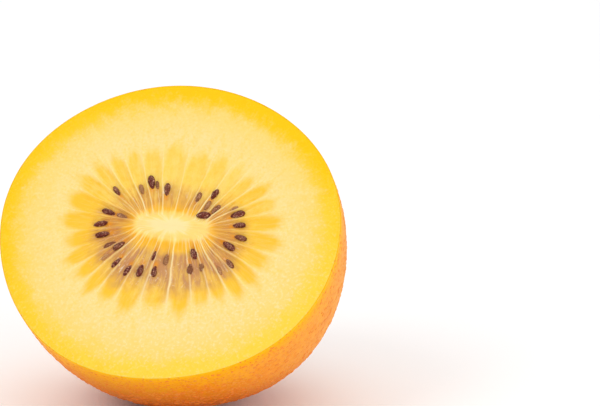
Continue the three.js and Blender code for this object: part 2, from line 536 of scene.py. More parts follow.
@dataclass(frozen=True)
class FleshFinish(Finish):
    """Juicy flesh: a pale core, gold petals between pale threads, pale flesh and a golden rim.

    Zones are in millimetres: in from the rim, out from the core or past a petal's tip. The low one runs
    from 0 above the core to 1 below it.
    """

    name: str = "juicy_flesh"
    specular: float = 0.12
    bleed: float = 0.2
    bleed_depth: float = 1.4
    relief: float = 0.06
    chambers: int = 29
    rays_per_chamber: float = 3.0
    rim_buttery: Zone = (2.5, 9.0)
    rim_golden: Zone = (1.0, 4.7)
    # zone of the painted highlight along the rim
    rim_highlight_zone: Zone = (0.15, 0.45)
    petal_narrows: float = 5.5
    petal_foot: Zone = (-0.6, 0.9)
    petal_end: Zone = (-1.6, 1.4)
    petal_outer: Zone = (6.5, 10.0)
    dusk_low: Zone = (0.55, 1.0)
    thread_foot: Zone = (-0.6, 0.3)
    thread_root: Zone = (0.0, 1.6)
    thread_end: Zone = (-5.0, 2.5)
    thread_upper: Zone = (2.5, 7.5)
    thread_merging: Zone = (0.5, 3.0)
    ray_foot: Zone = (-0.5, 0.2)
    ray_root: Zone = (0.0, 1.2)
    glint_start: Zone = (2.5, 4.0)
    glint_end: Zone = (8.5, 10.5)
    fringe_edge: Zone = (-0.4, 0.8)
    core_edge: Zone = (-1.1, 0.1)
    pale: Colour = tone(255, 224, 147)
    buttery: Colour = tone(255, 217, 114)
    rim_gold: Colour = tone(255, 203, 0)
    rim_yellow: Colour = tone(255, 215, 68)
    # a pale painted highlight that lightens the shaded lower rim
    rim_painted_highlight: Colour = tone(255, 222, 108)
    petal_light: Colour = tone(255, 216, 102)
    petal_deep: Colour = tone(254, 200, 54)
    amber: Colour = tone(252, 186, 32)
    dusk_light: Colour = tone(230, 161, 74)
    dusk_deep: Colour = tone(196, 127, 72)
    dusk_grey: Colour = tone(206, 152, 102)
    seed_shadow: Colour = tone(178, 94, 56)
    cord: Colour = tone(244, 156, 16)
    thread: Colour = tone(255, 231, 172)
    # pale colour of the painted highlights between the seeds
    painted_glint: Colour = tone(248, 226, 190)
    core: Colour = tone(255, 232, 166)
    core_fringe: Colour = tone(255, 219, 112)

    def paint(self, sheet: Sheet) -> dict[str, Wire]:
        """What varies over the cut face and down the side.

        Args:
            sheet: The sheet that it is drawn on.

        Returns:
            Wires by the shader's sockets.
        """
        spot = FleshSpot(sheet, self.chambers)
        merged = (0.0 - spot.east).held() * spot.low
        petal = self._petal(spot, merged)
        colour = sheet.mix(petal, self._pulp(spot), self._petal_colour(spot))
        dusk = self._dusk(spot)
        smoke = sheet.mix((spot.fibres * 2.0 - 0.5).held(), self.dusk_light, self.dusk_deep)
        smoke = sheet.mix(spot.low.step(*self.dusk_low) * 0.8, smoke, self.dusk_grey)
        colour = sheet.mix(dusk, colour, smoke)
        shade = sheet.carried("shade", "Fac") * (0.1 + 0.8 * spot.fibres)
        colour = sheet.mix(shade.held(), colour, self.seed_shadow)
        cord = sheet.carried("cord", "Fac") * (0.3 + spot.fibres)
        colour = sheet.mix(cord.held(), colour, self.cord)
        threads = self._threads(spot, merged) + self._rays(spot)
        colour = sheet.mix(threads.held(), colour, self.thread)
        # painted highlights: pale wet glints, strongest where the flesh is dark
        painted_glint = self._painted_glints(spot, dusk + shade)
        colour = sheet.mix(painted_glint, colour, self.painted_glint)
        height = spot.fibres * 0.5 + spot.fine * 0.35 + painted_glint * 0.4 + spot.specks * 0.3
        return {
            "Base Color": self._core(spot, colour, threads),
            "Roughness": 0.5 - petal * 0.12 - painted_glint * 0.15 + spot.fine * 0.08,
            "Normal": sheet.bump(height, self.relief),
        }

    def _pulp(self, spot: FleshSpot) -> Wire:
        """The flesh outside the petals, golden towards the rim and most on its upper side; a painted
        highlight lines the lower rim.

        Args:
            spot: The spot.

        Returns:
            Its colour.
        """
        mix, specks = spot.sheet.mix, spot.specks
        upper = spot.north * 0.54 - spot.east * 0.24 + spot.north * spot.east * 0.45
        streaky, grainy = spot.fibres - 0.5, spot.fine - 0.5
        inward = spot.rim - upper.held() * 0.6 + spot.blur * 3.6 + streaky * 2.4 + grainy * 3.0
        deep = (0.62 + upper + spot.blur * 1.2 + grainy * 1.2).held()
        gold = mix(deep, self.rim_yellow, self.rim_gold)
        colour = mix(1.0 - inward.step(*self.rim_buttery), self.pale, self.buttery)
        colour = mix((streaky * 2.4 + grainy * 2.4 + 0.2).held(), colour, self.buttery)
        colour = mix(specks.step(0.5, 0.7) * (0.36 - upper * 0.2), colour, self.thread)
        colour = mix(1.0 - inward.step(*self.rim_golden), colour, gold)
        colour = mix(specks.step(0.5, 0.72) * (0.5 - upper).held() * 0.3, colour, self.thread)
        colour = mix((1.0 - specks.step(0.3, 0.48)) * 0.18, colour, gold)
        # painted highlight: a pale line along the rim, strongest on its lower side where the rim is
        # shaded
        line = (1.0 - spot.rim.step(*self.rim_highlight_zone)) * (0.4 - upper).held() * 0.3
        return mix(line, colour, self.rim_painted_highlight)

    def _petal(self, spot: FleshSpot, merged: Wire) -> Wire:
        """How much of a spot belongs to a petal: full between two walls, rounder towards its tip.

        Args:
            spot: The spot.
            merged: How far the petals there run into each other.

        Returns:
            0 outside the petals to 1 in one.
        """
        start = self.petal_narrows
        tip = spot.tip + spot.blur * 1.6 + (spot.fibres - 0.5) * 0.6
        closed = spot.sheet.chance(spot.wall, draw=80.0) * 0.14 + merged * 0.2
        along = ((spot.out - start) / (tip - start)).held()
        edge = 0.5 - 0.13 * along - 0.19 * along**4.0 + (1.0 - along * 0.8) * closed
        soft = 0.07 + along * 0.16
        across = 1.0 - (0.5 - spot.from_wall).step(edge - soft, edge + soft)
        end = 1.0 - (spot.out - tip).step(*self.petal_end)
        petal = across * end * spot.out.step(*self.petal_foot)
        return petal * (0.88 + (spot.fibres - 0.5) * 0.8 + spot.luck * 0.16).held()

    def _petal_colour(self, spot: FleshSpot) -> Wire:
        """The gold of a petal, deeper to the sides, at the bottom and at its tip, amber at the core.

        Args:
            spot: The spot.

        Returns:
            Its colour, if it is in a petal.
        """
        side = abs(spot.east)
        depth = spot.fibres * 0.9 + (spot.fine - 0.5) * 0.7 + spot.patch * 1.2
        depth = depth + spot.luck * 0.4 - 0.68 + side * 0.5 + spot.low * (0.75 + side * 0.25)
        depth = depth + spot.out.step(*self.petal_outer) * (0.8 + spot.low + side * 0.5) * 0.14
        gold = spot.sheet.mix(depth.held(), self.petal_light, self.petal_deep)
        from_core = (spot.out + spot.fibres * 2.0).step(1.6, 4.2 + spot.low)
        return spot.sheet.mix(1.0 - from_core, gold, self.amber)

    def _dusk(self, spot: FleshSpot) -> Wire:
        """The smoky part of the petals that the seeds lie in, farther out at the bottom.

        Args:
            spot: The spot.

        Returns:
            How smoky it is, 0 to 1.
        """
        out, low, blur, luck = spot.out, spot.low, spot.blur, spot.luck
        start = 0.7 + low * low * 1.1 + blur * 2.0
        end = 4.3 + low * 2.7 + low * low * 1.9 + luck * 0.8 + blur * 4.0
        strength = (0.56 + low * 0.42 + luck * 0.25) * (spot.fibres * 2.6 - 0.5).held()
        fading = 1.0 - out.step(end - 2.4 - low * 0.4, end + 1.6 + low * 0.2)
        return (out.step(start, start + 1.8) * fading * strength).held()

    def _threads(self, spot: FleshSpot, merged: Wire) -> Wire:
        """The pale threads along the walls, wide at the core, clearest above and below it.

        Args:
            spot: The spot.
            merged: How far the petals there run into each other.

        Returns:
            How much of a thread lies there, 0 to 1.
        """
        out, low = spot.out, spot.low
        luck = spot.sheet.chance(spot.wall, draw=40.0)
        half = 0.07 + 0.04 * luck + 0.15 * (1.0 - out.step(*self.thread_root))
        half = half + out.step(1.5, 6.0) * low * 0.04
        line = 1.0 - (spot.from_wall * spot.width).step(half * 0.2, half * 2.0)
        length = out.step(*self.thread_foot) * (1.0 - (out - spot.tip).step(*self.thread_end))
        length = length * (1.0 - out.step(*self.thread_upper) * (1.0 - low) * 0.5)
        clear = 0.2 + 0.8 * abs(spot.north) ** 1.6
        thread = line * length * clear * (0.42 + 0.5 * luck) * (0.3 + spot.fibres * 1.3)
        return thread.held() * (1.0 - merged * out.step(*self.thread_merging) * 0.9)

    def _rays(self, spot: FleshSpot) -> Wire:
        """Finer threads between the walls, close to the core.

        Args:
            spot: The spot.

        Returns:
            How much of such a thread lies there, 0 to 1.
        """
        where = (spot.place + spot.blur * 0.3) * self.rays_per_chamber
        from_ray = abs((where + 0.5) % 1.0 - 0.5) * spot.width / self.rays_per_chamber
        luck = spot.sheet.chance((where + 0.5).floor() % (self.chambers * self.rays_per_chamber))
        line = 1.0 - from_ray.step(0.01, 0.1 + 0.12 * (1.0 - spot.out.step(*self.ray_root)))
        end = 1.0 - spot.out.step(0.6 + luck * 2.0, 2.0 + luck * 5.0)
        length = spot.out.step(*self.ray_foot) * end
        return line * length * (luck * 1.3 - 0.2).held() * (0.05 + 0.7 * abs(spot.north) ** 1.6)

    def _painted_glints(self, spot: FleshSpot, shade: Wire) -> Wire:
        """Painted highlights: small wet glints between the seeds.

        Args:
            spot: The spot.
            shade: How dark it is there, because the glints show best in the dark.

        Returns:
            How much of a painted glint lies there, 0 to 1.
        """
        out = spot.out + spot.blur * 9.0
        near = out.step(*self.glint_start) * (1.0 - out.step(*self.glint_end))
        wet_glints = spot.streaks(out, count=40.0, along=1.1).step(0.55, 0.72)
        return wet_glints * near * (0.12 + shade).held() * 0.7

    def _core(self, spot: FleshSpot, colour: Wire, threads: Wire) -> Wire:
        """The pale core with its rayed fringe, laid over a colour.

        Args:
            spot: The spot.
            colour: The colour that it is laid over.
            threads: How much of a thread lies there, along which the core reaches farther out.

        Returns:
            The spot's colour.
        """
        scallops = spot.streaks(spot.out, count=9.0, along=0.1) - 0.5
        inward = spot.out - threads * 0.9 + spot.blur * 1.2 + scallops * 3.0
        inward = inward + spot.east.held() * 0.45
        colour = spot.sheet.mix(1.0 - inward.step(*self.fringe_edge), colour, self.core_fringe)
        return spot.sheet.mix(1.0 - inward.step(*self.core_edge), colour, self.core)


@dataclass(frozen=True)
class SkinFinish(Finish):
    """Thin golden-orange skin, mottled and finely pored, with painted shade in russet where it rests on
    the table.

    Zones are in millimetres: below the cut, but to the right for the painted sheen's side, and above the
    table for the painted shade where it rests.
    """

    name: str = "golden_skin"
    specular: float = 0.07
    bleed: float = 0.1
    bleed_depth: float = 0.8
    relief: float = 0.14
    pore_depth: float = 0.06
    pores_per_mm: float = 2.6
    stipples_per_mm: float = 1.9
    flecks_per_mm: float = 1.5
    edge_zone: Zone = (0.1, 1.3)
    coloured_zone: Zone = (0.3, 4.5)
    orange_zone: Zone = (1.5, 8.0)
    # zones of the painted sheen on the right side
    painted_sheen_below: Zone = (0.4, 3.5)
    painted_sheen_right: Zone = (6.0, 23.0)
    # zone of the painted shade near the table
    underside_shade_zone: Zone = (0.0, 12.0)
    rough_zone: Zone = (4.0, 9.0)
    fleck_zone: Zone = (2.0, 9.0)
    stem_zone: Zone = (29.5, 34.5)
    edge: Colour = tone(268, 194, 0)
    gold: Colour = tone(268, 183, 0)
    orange: Colour = tone(262, 150, 0)
    # pale apricot of the painted sheen
    painted_sheen: Colour = tone(262, 174, 68)
    rust: Colour = tone(244, 122, 8)
    # russet colour of the painted shade where the fruit rests
    underside_shade: Colour = tone(194, 78, 0)
    umber: Colour = tone(196, 112, 34)
    fleck: Colour = tone(252, 128, 40)
    stipple: Colour = tone(258, 178, 76)

    def paint(self, sheet: Sheet) -> dict[str, Wire]:
        """What varies over the skin.

        Args:
            sheet: The sheet that it is drawn on.

        Returns:
            Wires by the shader's sockets.
        """
        point = sheet.point()
        right, _, up = point.parts()
        below = sheet.carried("below", "Fac")
        broad = sheet.grain(point, 0.1) - 0.5
        patch = sheet.grain(point, 0.5, detail=3.0, rough=0.6)
        fine = sheet.grain(point, 2.4, detail=3.0, rough=0.65)
        grainy = fine - 0.5
        away = below.step(*self.coloured_zone)
        orange = below.step(*self.orange_zone) * 0.5 + broad * 2.4
        orange = orange + (patch - 0.5) * 0.9 + grainy * 0.8
        colour = sheet.mix(orange.held() * (0.2 + away * 0.8), self.gold, self.orange)
        # painted sheen: the right side turns pale apricot, standing in for the hazy light that grazes it
        side = right.step(*self.painted_sheen_right) * below.step(*self.painted_sheen_below) * (0.5 + fine * 0.6)
        colour = sheet.mix((side + (fine - 0.6) * 0.4).held(), colour, self.painted_sheen)
        rust = patch.step(0.52, 0.74) * 0.16 + fine.step(0.52, 0.72) * 0.4
        colour = sheet.mix(rust * away, colour, self.rust)
        # painted shade: the skin darkens to russet towards the table, where the fruit rests
        painted_underside_shade = 1.0 - (up + broad * 6.0).step(*self.underside_shade_zone)
        colour = sheet.mix(painted_underside_shade * 0.9, colour, self.underside_shade)
        stem_end = (below + broad * 5.0 + grainy * 3.0).step(*self.stem_zone)
        colour = sheet.mix(stem_end * 0.75, colour, self.umber)
        rough = (below + fine * 6.0).step(*self.rough_zone) * patch.step(0.35, 0.6)
        colour = sheet.mix(rough * 0.25, colour, self.rust)
        stippled = 1.0 - sheet.cells(point, self.stipples_per_mm).step(0.14, 0.5)
        stippled = stippled * (rough * 0.75 + side * 0.5).held()
        colour = sheet.mix(stippled, colour, self.stipple)
        ragged = (below + grainy * 0.6).step(*self.edge_zone)
        colour = sheet.mix(1.0 - ragged, colour, self.edge)
        mirrored = sheet.stretched(point, MIRRORED)
        fleck = 1.0 - sheet.cells(mirrored, self.flecks_per_mm).step(0.12, 0.4)
        near_cut = 1.0 - below.step(*self.fleck_zone)
        fleck = fleck * (0.42 + near_cut * 0.5) * fine.step(0.34, 0.54)
        pored = sheet.bump(sheet.cells(point, self.pores_per_mm), self.pore_depth)
        height = fine * 0.6 + patch * 0.2 + stippled * 0.3
        return {
            "Base Color": sheet.mix(fleck, colour, self.fleck),
            "Roughness": 0.4 + 0.16 * fine,
            "Normal": sheet.bump(height, self.relief, pored),
        }


@dataclass(frozen=True)
class DotFinish(Finish):
    """The small raised corky dots on the skin.

    Zones are in millimetres below the cut, but above the table for the painted shade.
    """

    name: str = "corky_dots"
    specular: float = 0.15
    relief: float = 0.03
    # zone of the painted shade near the table
    painted_dot_shade_zone: Zone = (1.0, 11.0)
    red_zone: Zone = (1.0, 9.0)
    stem_zone: Zone = (28.0, 33.5)
    light: Colour = tone(254, 168, 72)
    dark: Colour = tone(248, 136, 46)
    red: Colour = tone(255, 142, 48)
    brown: Colour = tone(214, 122, 44)

    def paint(self, sheet: Sheet) -> dict[str, Wire]:
        """What varies from dot to dot and over a dot.

        Args:
            sheet: The sheet that it is drawn on.

        Returns:
            Wires by the shader's sockets.
        """
        tint = sheet.carried("tint", "Fac")
        below = sheet.carried("below", "Fac")
        point = sheet.point()
        fine = sheet.grain(point, 5.0)
        # painted shade: the dots darken towards the table, where the fruit rests
        low = 1.0 - point.parts()[2].step(*self.painted_dot_shade_zone)
        share = (tint * 0.9 + (fine - 0.5) * 0.8 - low * 0.7).held()
        colour = sheet.mix(share, self.dark, self.light)
        near_cut = (1.0 - below.step(*self.red_zone)) * (1.2 - tint)
        colour = sheet.mix(near_cut.held(), colour, self.red)
        return {
            "Base Color": sheet.mix(below.step(*self.stem_zone) * 0.7, colour, self.brown),
            "Roughness": 0.45 + 0.2 * fine,
            "Normal": sheet.bump(fine, self.relief),
        }


@dataclass(frozen=True)
class SeedFinish(Finish):
    """Dark maroon seed coats, netted with paler pits and wet."""

    name: str = "maroon_seed"
    specular: float = 0.22
    relief: float = 0.08
    pits: float = 2.1
    dark: Colour = tone(74, 14, 6)
    maroon: Colour = tone(124, 48, 30)
    pit: Colour = tone(216, 162, 130)
    veil: Colour = tone(204, 150, 92)

    def paint(self, sheet: Sheet) -> dict[str, Wire]:
        """What varies over a seed, and from a seed on the surface to one just under it.

        Args:
            sheet: The sheet that it is drawn on.

        Returns:
            Wires by the shader's sockets.
        """
        luck = sheet.carried("luck", "Fac")
        veil = sheet.carried("veil", "Fac")
        shell = sheet.stretched(sheet.carried("shell"), (1.4, 1.1, 1.1))
        apart = sheet.vector(luck * 60.0, luck * 17.0, luck)
        own = sheet.node("ShaderNodeVectorMath", {"operation": "ADD"}, {0: shell, 1: apart})
        net = sheet.node(
            "ShaderNodeTexVoronoi",
            {"feature": "DISTANCE_TO_EDGE"},
            {"Vector": own, "Scale": self.pits},
            out="Distance",
        )
        patches = sheet.grain(own, 1.1)
        fine = sheet.grain(sheet.point(), 5.0, detail=3.0, rough=0.6)
        colour = sheet.mix(fine.step(0.35, 0.7), self.dark, self.maroon)
        pitted = net.step(0.05, 0.3) * patches.step(0.42, 0.58) * (0.5 + veil * 0.6 + luck * 0.4)
        colour = sheet.mix(pitted.held(), colour, self.pit)
        return {
            "Base Color": sheet.mix((veil * (0.4 + fine)).held(), colour, self.veil),
            "Roughness": 0.3 + 0.2 * fine,
            "Normal": sheet.bump(net, self.relief),
        }


@dataclass(frozen=True)
class StemFinish(Finish):
    """The dry woody stem end."""

    name: str = "woody_stem"
    specular: float = 0.3
    relief: float = 0.18
    fibre_stretch: tuple[float, float, float] = (2.6, 1.2, 1.2)
    dark: Colour = tone(104, 60, 32)
    light: Colour = tone(206, 150, 92)
    pith: Colour = tone(84, 52, 34)

    def paint(self, sheet: Sheet) -> dict[str, Wire]:
        """What varies over the wood.

        Args:
            sheet: The sheet that it is drawn on.

        Returns:
            Wires by the shader's sockets.
        """
        point = sheet.point()
        fibre = sheet.grain(sheet.stretched(point, self.fibre_stretch), 1.6, detail=4.0, rough=0.7)
        fine = sheet.grain(point, 6.0)
        out = sheet.carried("out", "Fac") + (fibre - 0.5) * 0.5
        colour = sheet.mix(fibre.step(0.32, 0.66), self.dark, self.light)
        return {
            "Base Color": sheet.mix(1.0 - out.step(0.15, 0.5), colour, self.pith),
            "Roughness": 0.72 + 0.2 * fine,
            "Normal": sheet.bump(fibre * 0.7 + fine * 0.3, self.relief),
        }


@dataclass(frozen=True)
class FloorFinish(Finish):
    """A pale plain table top."""

    name: str = "pale_floor"
    specular: float = 0.2
    light: Colour = (0.985, 0.985, 0.985, 1.0)
    shade: Colour = (0.965, 0.965, 0.965, 1.0)

    def paint(self, sheet: Sheet) -> dict[str, Wire]:
        """A very slight unevenness."""
        cloud = sheet.grain(sheet.point(), 0.01, detail=3.0)
        colour = sheet.mix(cloud, self.light, self.shade)
        return {"Base Color": colour, "Roughness": 0.7 + 0.1 * cloud}


@dataclass(frozen=True)
class Swell:
    """A slow wave in the fruit's outline: how many crests it has, its height and its first crest."""

    count: int
    height: float
    crest: float


@dataclass(frozen=True)
class FruitForm:
    """The half fruit's sizes, and the surface that follows from them. Angles are in degrees."""

    half_length: float = 34.0
    wide_radius: float = 27.4
    narrow_radius: float = 25.3
    bluntness: float = 2.3
    section_roll: float = -6.0
    face_tilt: float = 40.0
    spot_depth: float = 0.5
    dimple_depth: float = 0.9
    dimple_radius: float = 4.2
    swells: tuple[Swell, ...] = (Swell(3, 0.1, 12), Swell(4, 0.14, -26), Swell(5, 0.1, 30))

    def swelling(self, angle: np.ndarray) -> np.ndarray:
        """How far the outline swells out.

        Args:
            angle: The way round the plain oval, in radians.

        Returns:
            The swelling, as a share of the plain oval's radius.
        """
        share = np.zeros_like(angle)
        for swell in self.swells:
            wave = np.cos(swell.count * (angle - math.radians(swell.crest)))
            share += swell.height / self.narrow_radius * wave
        return share

    def surface(self, angle: np.ndarray, turn: np.ndarray, inset: float) -> np.ndarray:
        """Points of the skin or of a surface inside it.

        Args:
            angle: The way round the plain oval, in radians.
            turn: The way from the cut, 0, to the stem end, a quarter turn.
            inset: How far inside the skin the surface lies.

        Returns:
            The points, three numbers each.
        """
        out = np.clip(np.cos(turn), 0, 1) ** (2 / self.bluntness)
        deep = np.sin(turn) ** (2 / self.bluntness)
        swell = 1 + self.swelling(angle) * out
        h = np.cos(angle) * out * swell * (self.wide_radius - inset)
        v = np.sin(angle) * out * swell * (self.narrow_radius - inset)
        hollow = self.dimple_depth * np.exp(-((np.hypot(h, v) / self.dimple_radius) ** 2))
        w = -deep * (self.half_length - inset - hollow)
        return np.stack([*rolled(h, v, self.section_roll), w], axis=-1)

    def rings(self, angle: np.ndarray, turns: Sequence[float], inset: float) -> np.ndarray:
        """Rings of points of a surface, one for each turn from the cut."""
        return np.stack([self.surface(angle, np.full_like(angle, turn), inset) for turn in turns])

    def stem_end(self, inset: float) -> np.ndarray:
        """The point of a surface at the stem end."""
        return self.surface(np.zeros(1), np.array([math.pi / 2]), inset)[0]

    def oval_place(self, points: np.ndarray) -> tuple[np.ndarray, np.ndarray]:
        """Where points of the cut face lie in the oval.

        Args:
            points: Points of the face, two numbers each.

        Returns:
            The angle of each on the oval in radians, and its reach, which is 1 on the rim.
        """
        h, v = rolled(points[..., 0], points[..., 1], -self.section_roll)
        angle = np.arctan2(v / self.narrow_radius, h / self.wide_radius)
        reach = np.hypot(h / self.wide_radius, v / self.narrow_radius)
        return angle, reach / (1 + self.swelling(angle))

    def laying(self) -> Matrix:
        """The turn, shift and scale from the fruit's own axes to the model's frame.

        Returns:
            The matrix.
        """
        turn = Matrix.Rotation(math.radians(90 - self.face_tilt), 4, "X")
        touch = turn @ self._touch_point()
        shift = Matrix.Translation((-touch.x, -touch.y, -touch.z - self.spot_depth))
        return Matrix.Scale(MM, 4) @ shift @ turn

    def _touch_point(self) -> Vector:
        """Where the plain fruit, lying tilted, would touch the table.

        Returns:
            The point, in the fruit's own axes.
        """
        roll = Matrix.Rotation(math.radians(self.section_roll), 3, "Z")
        tilt = Matrix.Rotation(math.radians(90 - self.face_tilt), 3, "X")
        down = (tilt @ roll).inverted() @ Vector((0, 0, -1))
        power = self.bluntness / (self.bluntness - 1)
        girth = math.hypot(down.x * self.wide_radius, down.y * self.narrow_radius)
        depth = -down.z * self.half_length
        share = (girth**power + depth**power) ** (1 / power - 1)
        h = share * girth ** (power - 2) * down.x * self.wide_radius**2
        v = share * girth ** (power - 2) * down.y * self.narrow_radius**2
        return roll @ Vector((h, v, -share * depth ** (power - 1) * self.half_length))


@dataclass(frozen=True)
class CoreForm:
    """The oval core and the seed chambers that stand round it, on the cut face.

    A place is a number of chambers round from the right-hand end of the core, and whole places are walls.
    """

    middle: tuple[float, float] = (0.45, 0.65)
    half_length: float = 5.6
    half_width: float = 2.0
    height: float = 0.35
    roll: float = -3.0
    crowding: float = 0.33
    turn: float = 0.25
    lean: float = 0.8
    lean_reach: float = 4.5
    tips: tuple[float, ...] = (
        12, 11.4, 12, 10.8, 11.2, 11.4, 11.2, 12.4, 11.6, 11.8, 11.9, 12.6, 12.9, 12.3, 12.2,
        11.5, 12.6, 12.4, 13.4, 12.9, 13.9, 11.8, 13.1, 11.9, 12, 13.1, 12.9, 11.7, 12.5,
    )

    def direction(self, place: np.ndarray) -> np.ndarray:
        """The direction in which a chamber runs out from the core.

        Args:
            place: The place among the chambers.

        Returns:
            The direction, in radians. Chambers crowd towards the core's long sides.
        """
        even = 2 * math.pi * (place + self.turn) / len(self.tips)
        direction = even
        for _ in range(30):
            direction = even + self.crowding / 2 * np.sin(2 * direction)
        return direction

    def point(
        self, place: np.ndarray, distance: np.ndarray, share: float | np.ndarray = 1.0
    ) -> np.ndarray:
        """Points of the cut face.

        Args:
            place: The place among the chambers.
            distance: How far out from the core.
            share: How large the core's oval is taken, for points inside it.

        Returns:
            The points, two numbers each.
        """
        direction = self.direction(place)
        length, width = self.half_length, self.half_width
        along = np.arctan2(width * np.sin(direction), length * np.cos(direction))
        h = length * np.cos(along) * share + distance * np.cos(direction)
        v = width * np.sin(along) * share + distance * np.sin(direction)
        h, v = rolled(h, v, self.roll)
        return np.stack([self.middle[0] + h, self.middle[1] + v], axis=-1)

    def width(self, place: np.ndarray, distance: np.ndarray) -> np.ndarray:
        """How wide a chamber is.

        Args:
            place: The place among the chambers.
            distance: How far out from the core.

        Returns:
            The width there.
        """
        near = 0.05
        gap = self.point(place + near, distance) - self.point(place - near, distance)
        return np.linalg.norm(gap, axis=-1) / (2 * near)

    def leaning(self, place: np.ndarray, distance: np.ndarray) -> np.ndarray:
        """The place among the chambers whose walls, close to the core, lean towards its middle."""
        reach = np.exp(-((np.maximum(distance, 0) / self.lean_reach) ** 2))
        return place - self.lean * np.sin(2 * self.direction(place)) * reach

    def tip(self, place: np.ndarray) -> np.ndarray:
        """How far out a chamber reaches, with a soft change from one to the next.

        Args:
            place: The place among the chambers.

        Returns:
            The distance of its tip from the core.
        """
        tips = np.array(self.tips)
        before = np.floor(place - 0.5).astype(int)
        share = step(place - 0.5 - before, 0.0, 1.0)
        return tips[before % len(tips)] * (1 - share) + tips[(before + 1) % len(tips)] * share

    def to_rim(self, form: FruitForm, place: np.ndarray) -> np.ndarray:
        """How far it is from the core to the rim of the cut face.

        Args:
            form: The fruit's sizes.
            place: The place among the chambers.

        Returns:
            The distance.
        """
        low, high = np.zeros_like(place), np.full_like(place, 2 * form.wide_radius)
        for _ in range(40):
            half = (low + high) / 2
            inside = form.oval_place(self.point(place, half))[1] < 1
            low, high = np.where(inside, half, low), np.where(inside, high, half)
        return low


@dataclass(frozen=True)
class SeedSpot:
    """One seed.

    Attributes:
        place: The place among the chambers.
        distance: How far out from the core its middle lies.
        size: Its size, where 1 is an even seed.
        lean: How far it is turned out of its chamber's direction, in degrees.
        veil: How far it is under the surface, 0 to 1.
        girth: How plump it is.
        lift: How far it stands out.
    """

    place: float
    distance: float
    size: float
    lean: float
    veil: float = 0.0
    girth: float = 1.0
    lift: float = 0.0


# Round the core from its right-hand end: place, distance, size, lean and veil
SEED_SPOTS = (
    SeedSpot(0.56, 5.2, 1, -6),
    SeedSpot(1.66, 5.35, 1.12, -8, girth=1.1),
    SeedSpot(2.36, 5.15, 0.85, 0, 0.6),
    SeedSpot(3.92, 3.15, 0.9, -4, 0.25),
    SeedSpot(4.7, 1.2, 1.08, -56, girth=1.25, lift=0.25),
    SeedSpot(5, 5.1, 1, -8),
    SeedSpot(5.02, 3, 0.85, -4, 0.6),
    SeedSpot(5.96, 3.65, 0.95, -8, 0.35),
    SeedSpot(7.68, 4.35, 1.05, -2, 0.1),
    SeedSpot(8.26, 5.25, 0.7, 4, 0.3),
    SeedSpot(8.62, 5.8, 1.12, 4, girth=1.15),
    SeedSpot(9.42, 4.95, 0.85, 4, 0.6),
    SeedSpot(11.62, 6.45, 0.95, -8, 0.1),
    SeedSpot(13.52, 2.8, 0.95, -4, 0.35),
    SeedSpot(13.56, 5.2, 1.1, 0),
    SeedSpot(14.66, 5.9, 1.1, 14),
    SeedSpot(15.62, 5.7, 1.1, -6),
    SeedSpot(16.98, 5.25, 1, -6, 0.2),
    SeedSpot(17.7, 6.9, 0.8, 0, 0.85),
    SeedSpot(17.72, 4.2, 1.05, -6, 0.1),
    SeedSpot(18.82, 6.6, 1, -7),
    SeedSpot(19.84, 6.9, 1, -8),
    SeedSpot(20.5, 6.2, 1.05, 0),
    SeedSpot(20.98, 3.4, 0.9, 4),
    SeedSpot(21.18, 5.85, 0.95, 6),
    SeedSpot(21.6, 3.65, 0.9, 0, 0.45),
    SeedSpot(22.96, 5.25, 1.05, 0, 0.2),
    SeedSpot(23.36, 2.75, 0.92, 16, girth=1.4),
    SeedSpot(23.82, 5.2, 0.9, 2, 0.35),
    SeedSpot(25.12, 6.95, 0.85, -6, 0.65),
    SeedSpot(26.16, 6.95, 0.95, -10, 0.15, girth=1.08),
    SeedSpot(27.4, 4.55, 1.08, -4, girth=1.12),
    SeedSpot(28.48, 5.7, 1, -6, 0.1),
)


@dataclass
class RingMesh:
    """A closed surface through rings of points, from a first pole over the rings to a last pole.

    The rings run anticlockwise seen from the last pole. What the corners carry has a value for each ring
    and each boundary between columns, so the first boundary is there twice.
    """

    name: str
    first: np.ndarray
    rings: np.ndarray
    last: np.ndarray
    point_values: Mapping[str, np.ndarray]
    corner_values: Mapping[str, np.ndarray] = field(default_factory=dict)

    def build(self) -> bpy.types.Mesh:
        """Makes the mesh, with its values.

        Returns:
            The mesh.
        """
        faces, corners = self._faces()
        points = np.vstack([self.first[None], self.rings.reshape(-1, 3), self.last[None]])
        mesh = bpy.data.meshes.new(self.name)
        mesh.from_pydata(points.tolist(), [], faces)
        for name, values in self.corner_values.items():
            kind, key = ("FLOAT_VECTOR", "vector") if values.ndim == 3 else ("FLOAT", "value")
            data = mesh.attributes.new(name, kind, "CORNER").data
            data.foreach_set(key, values[corners[:, 0], corners[:, 1]].astype(np.float32).ravel())
        for name, values in self.point_values.items():
            spread = np.concatenate([[values[0, 0]], values.ravel(), [values[-1, 0]]])
            data = mesh.attributes.new(name, "FLOAT", "POINT").data
            data.foreach_set("value", spread.astype(np.float32))
        mesh.shade_smooth()
        return mesh

    def _faces(self) -> tuple[list[list[int]], np.ndarray]:
        """The surface's faces.

        Returns:
            The numbers of each face's points, and the ring and the boundary of each of its corners.
        """
        count, columns = self.rings.shape[:2]
        top = count - 1
        faces: list[list[int]] = []
        corners: list[tuple[int, int]] = []

        def number(ring: int, boundary: int) -> int:
            """The number of a ring's point."""
            return 1 + ring * columns + boundary % columns

        for side in range(columns):
            faces.append([0, number(0, side + 1), number(0, side)])
            corners += [(0, side), (0, side + 1), (0, side)]
        for ring in range(top):
            for side in range(columns):
                quad = [(ring, side), (ring, side + 1), (ring + 1, side + 1), (ring + 1, side)]
                faces.append([number(*corner) for corner in quad])
                corners += quad
        for side in range(columns):
            faces.append([number(top, side), number(top, side + 1), 1 + count * columns])
            corners += [(top, side), (top, side + 1), (top, side)]
        return faces, np.array(corners)


